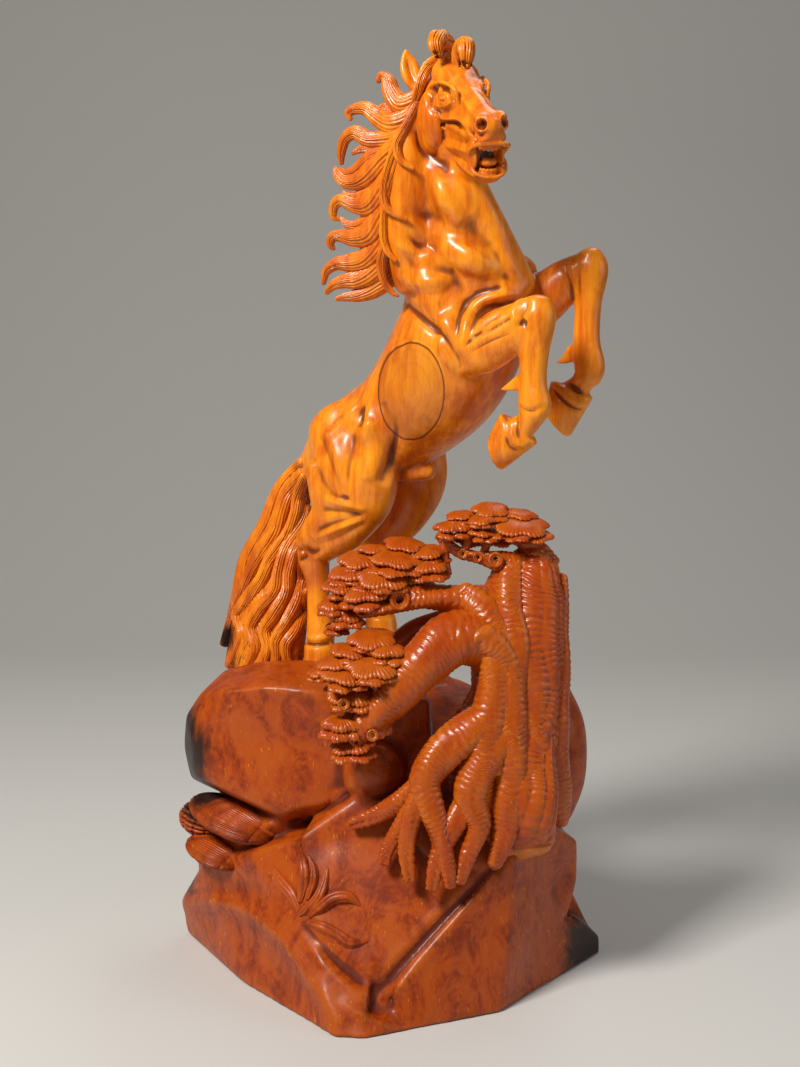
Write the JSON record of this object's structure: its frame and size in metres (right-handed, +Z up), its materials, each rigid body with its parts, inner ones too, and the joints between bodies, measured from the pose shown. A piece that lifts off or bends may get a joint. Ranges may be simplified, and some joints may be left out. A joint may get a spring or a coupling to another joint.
{
  "type": "wooden horse statue",
  "caption": "Carved hardwood statue of a rearing horse with a flowing mane, standing on a boulder behind an old pine tree.",
  "frame": {"origin": "middle of the statue's bounding box on the floor plane", "axes": "+Z up; +X to the viewer's right in the front view, the way the horse heads; +Y away from the viewer"},
  "size_m": [0.4325, 0.3781, 0.8973],
  "materials": {
    "carved_wood": "polished, clear lacquer"
  },
  "bodies": {
    "root": {"horse_statue": "carved_wood"}
  },
  "joints": []
}
